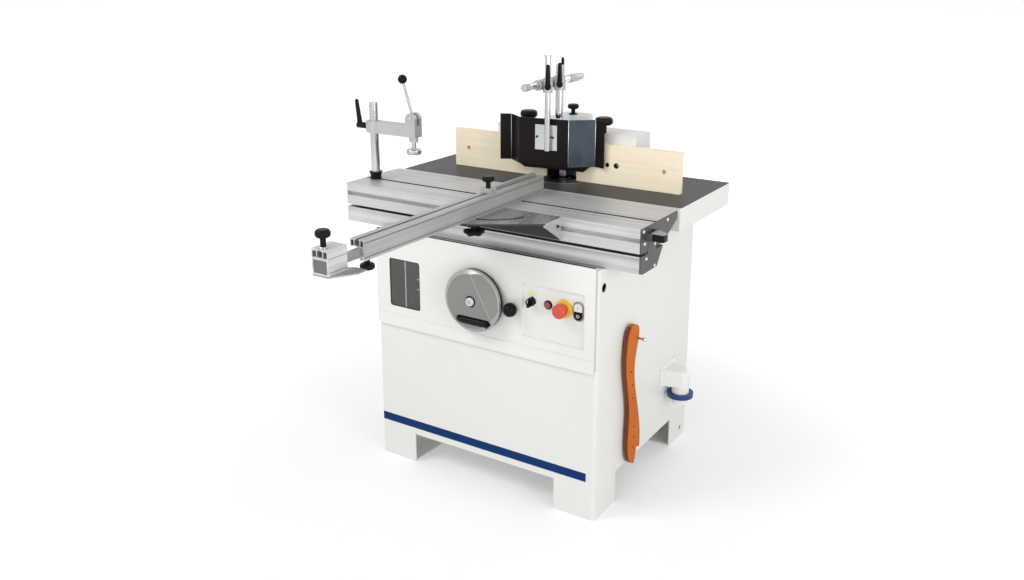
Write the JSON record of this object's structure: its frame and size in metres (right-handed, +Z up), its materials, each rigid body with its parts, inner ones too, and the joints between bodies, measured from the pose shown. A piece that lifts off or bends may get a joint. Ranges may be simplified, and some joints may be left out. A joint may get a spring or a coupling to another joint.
{
  "type": "spindle moulder",
  "caption": "Floor-standing spindle moulder: steel cabinet, cast table, sliding carriage with mitre fence and hold-down clamp, fence boards, hood and height-adjusted guard.",
  "frame": {"origin": "on the floor under the middle of the machine's bounding box", "axes": "+X to the operator's right along the front, +Y to the back, +Z up"},
  "size_m": [1.1226, 1.4203, 1.305],
  "materials": {
    "white_coat": "fine-textured off-white powder coat",
    "smoked_pane": "smoked clear plastic",
    "table_iron": "ground top, painted apron",
    "ring_steel": "turned",
    "aluminium": "clear anodised extrusion",
    "end_grey": "satin dark grey",
    "black_plastic": "satin moulded",
    "grey_plastic": "fine-grained moulded",
    "chrome": "ground and polished",
    "guard_coat": "satin black",
    "steel": "plain machined",
    "cast_grey": "primed casting",
    "motor_grey": "painted casting",
    "belt_rubber": "moulded rubber",
    "plywood": "sanded",
    "orange_plastic": "satin moulded",
    "red_plastic": "gloss moulded",
    "button_white": "gloss moulded",
    "blue_plastic": "satin moulded",
    "light_plastic": "satin moulded"
  },
  "bodies": {
    "base": {"cabinet": "white_coat", "control_panel": "white_coat", "speed_window": "smoked_pane", "table": "table_iron", "table_rings": "ring_steel", "carriage_beam": "aluminium", "beam_end_plates": "end_grey", "inlet_housing": "light_plastic", "inlet_collar": "blue_plastic", "lift_frame": "cast_grey"},
    "door": {"rear_door": "white_coat"},
    "door_catch": {"door_latch": "black_plastic"},
    "wheel": {"handwheel": "grey_plastic"},
    "wheel_grip": {"handwheel_grip": "black_plastic"},
    "height_lock": {"lock_knob": "black_plastic"},
    "screw": {"leadscrew": "steel"},
    "quill": {"quill_carrier": "cast_grey", "motor": "motor_grey", "drive_belt": "belt_rubber"},
    "arbor": {"spindle": "steel"},
    "motor_rotor": {"motor_pulley": "cast_grey"},
    "selector": {"selector_switch": "black_plastic"},
    "lamp": {"lamp_button": "red_plastic"},
    "estop": {"estop_button": "red_plastic"},
    "start": {"start_button": "button_white"},
    "stop": {"stop_button": "black_plastic"},
    "stick": {"push_stick": "orange_plastic"},
    "fence": {"fence_hood": "white_coat", "guard_bracket": "white_coat", "guard_post": "chrome"},
    "board_left": {"left_board": "plywood"},
    "board_right": {"right_board": "plywood"},
    "knob_left": {"fence_knob_left": "black_plastic"},
    "knob_right": {"fence_knob_right": "black_plastic"},
    "knob_bracket": {"bracket_knob": "black_plastic"},
    "swivel": {"post_clamp": "aluminium"},
    "swivel_lever": {"post_lever": "black_plastic"},
    "arm": {"guard_arm": "chrome", "rod_clamp": "aluminium"},
    "arm_lever": {"rod_lever": "black_plastic"},
    "guard": {"guard_rod": "chrome", "guard_shell": "guard_coat"},
    "trolley": {"carriage": "aluminium", "carriage_end_plates": "end_grey", "angle_bracket": "aluminium"},
    "trolley_latch": {"carriage_latch": "black_plastic"},
    "rollers": {"roller_cage": "steel"},
    "mitre": {"mitre_fence": "aluminium"},
    "mitre_knob": {"angle_knob": "black_plastic"},
    "strip": {"fence_strip": "aluminium"},
    "strip_screw": {"strip_knob": "black_plastic"},
    "extension": {"fence_extension": "aluminium"},
    "extension_screw": {"extension_knob": "black_plastic"},
    "end_screw": {"end_knob": "black_plastic"},
    "flip_stop": {"stop_plate": "aluminium"},
    "clamp_base": {"clamp_column": "chrome"},
    "clamp_beam": {"clamp_arm": "aluminium"},
    "clamp_cam": {"clamp_lever": "black_plastic"},
    "clamp_pad": {"clamp_plunger": "steel"},
    "clamp_tight": {"clamp_ratchet": "black_plastic"}
  },
  "joints": [
    {"name": "door_swing", "type": "hinge", "parent": "base", "child": "door", "pos_m": [0.27633, 0.68185, 0.43], "axis": [0, 0, 1], "range_deg": [-100, 0]},
    {"name": "door_latch_turn", "type": "hinge", "parent": "door", "child": "door_catch", "pos_m": [-0.21367, 0.69185, 0.43], "axis": [0, 1, 0], "range_deg": [-90, 0]},
    {"name": "handwheel_turn", "type": "hinge", "parent": "base", "child": "wheel", "pos_m": [0.00233, -0.02115, 0.622], "axis": [0, 1, 0], "range_deg": [-4321, 3601]},
    {"name": "grip_fold", "type": "hinge", "parent": "wheel", "child": "wheel_grip", "pos_m": [0.05833, -0.05115, 0.562], "axis": [0, 0, 1], "range_deg": [0, 90]},
    {"name": "height_lock_turn", "type": "hinge", "parent": "base", "child": "height_lock", "pos_m": [0.12833, -0.00915, 0.616], "axis": [0, 1, 0], "range_deg": [-90, 90]},
    {"name": "leadscrew_turn", "type": "hinge", "parent": "base", "child": "screw", "pos_m": [0.00233, 0.35735, 0.7], "axis": [0, 0, 1], "range_deg": [-4321, 3601]},
    {"name": "lift", "type": "slide", "parent": "base", "child": "quill", "axis": [0, 0, 1], "range_m": [-0.06, 0.05]},
    {"name": "spindle_spin", "type": "hinge", "parent": "quill", "child": "arbor", "pos_m": [0.02033, 0.46135, 0.9], "axis": [0, 0, 1], "continuous": true},
    {"name": "motor_spin", "type": "hinge", "parent": "quill", "child": "motor_rotor", "pos_m": [-0.22267, 0.46135, 0.6], "axis": [0, 0, 1], "continuous": true},
    {"name": "selector_turn", "type": "hinge", "parent": "base", "child": "selector", "pos_m": [0.18461, -0.00315, 0.644], "axis": [0, 1, 0], "range_deg": [-45, 45]},
    {"name": "lamp_press", "type": "slide", "parent": "base", "child": "lamp", "axis": [0, 1, 0], "range_m": [0, 0.004], "stiffness_N_per_m": 800},
    {"name": "estop_press", "type": "slide", "parent": "base", "child": "estop", "axis": [0, 1, 0], "range_m": [0, 0.006], "stiffness_N_per_m": 1200},
    {"name": "start_press", "type": "slide", "parent": "base", "child": "start", "axis": [0, 1, 0], "range_m": [0, 0.003], "stiffness_N_per_m": 1000},
    {"name": "stop_press", "type": "slide", "parent": "base", "child": "stop", "axis": [0, 1, 0], "range_m": [0, 0.003], "stiffness_N_per_m": 1000},
    {"name": "stick_swing", "type": "hinge", "parent": "base", "child": "stick", "pos_m": [0.39783, 0.21335, 0.509], "axis": [1, 0, 0], "range_deg": [-20, 20]},
    {"name": "fence_slide", "type": "slide", "parent": "base", "child": "fence", "axis": [0, 1, 0], "range_m": [-0.04, 0.01]},
    {"name": "left_board_slide", "type": "slide", "parent": "fence", "child": "board_left", "axis": [1, 0, 0], "range_m": [-0.06, 0.025]},
    {"name": "right_board_slide", "type": "slide", "parent": "fence", "child": "board_right", "axis": [1, 0, 0], "range_m": [-0.025, 0.06]},
    {"name": "fence_knob_left_turn", "type": "hinge", "parent": "fence", "child": "knob_left", "pos_m": [-0.11867, 0.46935, 1.059], "axis": [0, 0, 1], "range_deg": [-180, 180]},
    {"name": "fence_knob_right_turn", "type": "hinge", "parent": "fence", "child": "knob_right", "pos_m": [0.15933, 0.46935, 1.059], "axis": [0, 0, 1], "range_deg": [-180, 180]},
    {"name": "bracket_knob_turn", "type": "hinge", "parent": "fence", "child": "knob_bracket", "pos_m": [0.02033, 0.51935, 1.1], "axis": [0, 0, 1], "range_deg": [-180, 180]},
    {"name": "guard_swivel", "type": "hinge", "parent": "fence", "child": "swivel", "pos_m": [0.02033, 0.42735, 1.212], "axis": [0, 0, 1], "range_deg": [-12, 1]},
    {"name": "post_lever_turn", "type": "hinge", "parent": "swivel", "child": "swivel_lever", "pos_m": [0.02033, 0.42735, 1.212], "axis": [-0.5, 0.866, 0], "range_deg": [-20, 60]},
    {"name": "guard_arm_slide", "type": "slide", "parent": "swivel", "child": "arm", "axis": [0, 1, 0], "range_m": [-0.08, 0]},
    {"name": "rod_lever_turn", "type": "hinge", "parent": "arm", "child": "arm_lever", "pos_m": [0.02033, 0.35435, 1.212], "axis": [-0.5, 0.866, 0], "range_deg": [-20, 60]},
    {"name": "guard_lift", "type": "slide", "parent": "arm", "child": "guard", "axis": [0, 0, 1], "range_m": [-0.02, 0.05]},
    {"name": "carriage_slide", "type": "slide", "parent": "base", "child": "trolley", "axis": [1, 0, 0], "range_m": [-0.35, 0.35]},
    {"name": "carriage_latch_turn", "type": "hinge", "parent": "trolley", "child": "trolley_latch", "pos_m": [0.52333, 0.07135, 0.875], "axis": [0, 1, 0], "range_deg": [-35, 0]},
    {"name": "roller_slide", "type": "slide", "parent": "base", "child": "rollers", "axis": [1, 0, 0], "range_m": [-0.176, 0.176]},
    {"name": "mitre_swing", "type": "hinge", "parent": "trolley", "child": "mitre", "pos_m": [0.05283, 0.00235, 0.901], "axis": [0, 0, 1], "range_deg": [0, 60]},
    {"name": "angle_knob_turn", "type": "hinge", "parent": "mitre", "child": "mitre_knob", "pos_m": [0.07092, -0.12638, 0.8957], "axis": [0, 0, 1], "range_deg": [-180, 180]},
    {"name": "strip_slide", "type": "slide", "parent": "mitre", "child": "strip", "axis": [0, 1, 0], "range_m": [-0.05, 0.04]},
    {"name": "strip_knob_turn", "type": "hinge", "parent": "strip", "child": "strip_screw", "pos_m": [0.05283, -0.02765, 0.97], "axis": [0, 0, 1], "range_deg": [-180, 180]},
    {"name": "extension_slide", "type": "slide", "parent": "mitre", "child": "extension", "axis": [0, -1, 0], "range_m": [0, 0.3]},
    {"name": "extension_knob_turn", "type": "hinge", "parent": "mitre", "child": "extension_screw", "pos_m": [0.06633, -0.56715, 0.89], "axis": [0, 0, 1], "range_deg": [-180, 180]},
    {"name": "end_knob_turn", "type": "hinge", "parent": "extension", "child": "end_screw", "pos_m": [0.04633, -0.69165, 0.97], "axis": [0, 0, 1], "range_deg": [-180, 180]},
    {"name": "stop_turn", "type": "hinge", "parent": "extension", "child": "flip_stop", "pos_m": [0.05933, -0.68965, 0.895], "axis": [0, 0, 1], "range_deg": [-90, 90]},
    {"name": "clamp_slide", "type": "slide", "parent": "trolley", "child": "clamp_base", "axis": [1, 0, 0], "range_m": [-0.01, 0.15]},
    {"name": "clamp_height", "type": "slide", "parent": "clamp_base", "child": "clamp_beam", "axis": [0, 0, 1], "range_m": [-0.06, 0.03]},
    {"name": "clamp_lever_turn", "type": "hinge", "parent": "clamp_beam", "child": "clamp_cam", "pos_m": [-0.32567, 0.11835, 1.109], "axis": [0, 1, 0], "range_deg": [0, 60]},
    {"name": "plunger_slide", "type": "slide", "parent": "clamp_beam", "child": "clamp_pad", "axis": [0, 0, -1], "range_m": [0, 0.0251]},
    {"name": "clamp_ratchet_turn", "type": "hinge", "parent": "clamp_beam", "child": "clamp_tight", "pos_m": [-0.52767, 0.11835, 1.071], "axis": [1, 0, 0], "range_deg": [-90, 90]}
  ],
  "couplings": [
    {"joint": "handwheel_turn", "follows": "lift", "rad_per_m": 1256.6},
    {"joint": "leadscrew_turn", "follows": "lift", "rad_per_m": 1256.6},
    {"joint": "motor_spin", "follows": "spindle_spin", "ratio": 1.087},
    {"joint": "roller_slide", "follows": "carriage_slide", "ratio": 0.5},
    {"joint": "plunger_slide", "follows": "clamp_lever_turn", "m_per_rad": 0.023873}
  ]
}
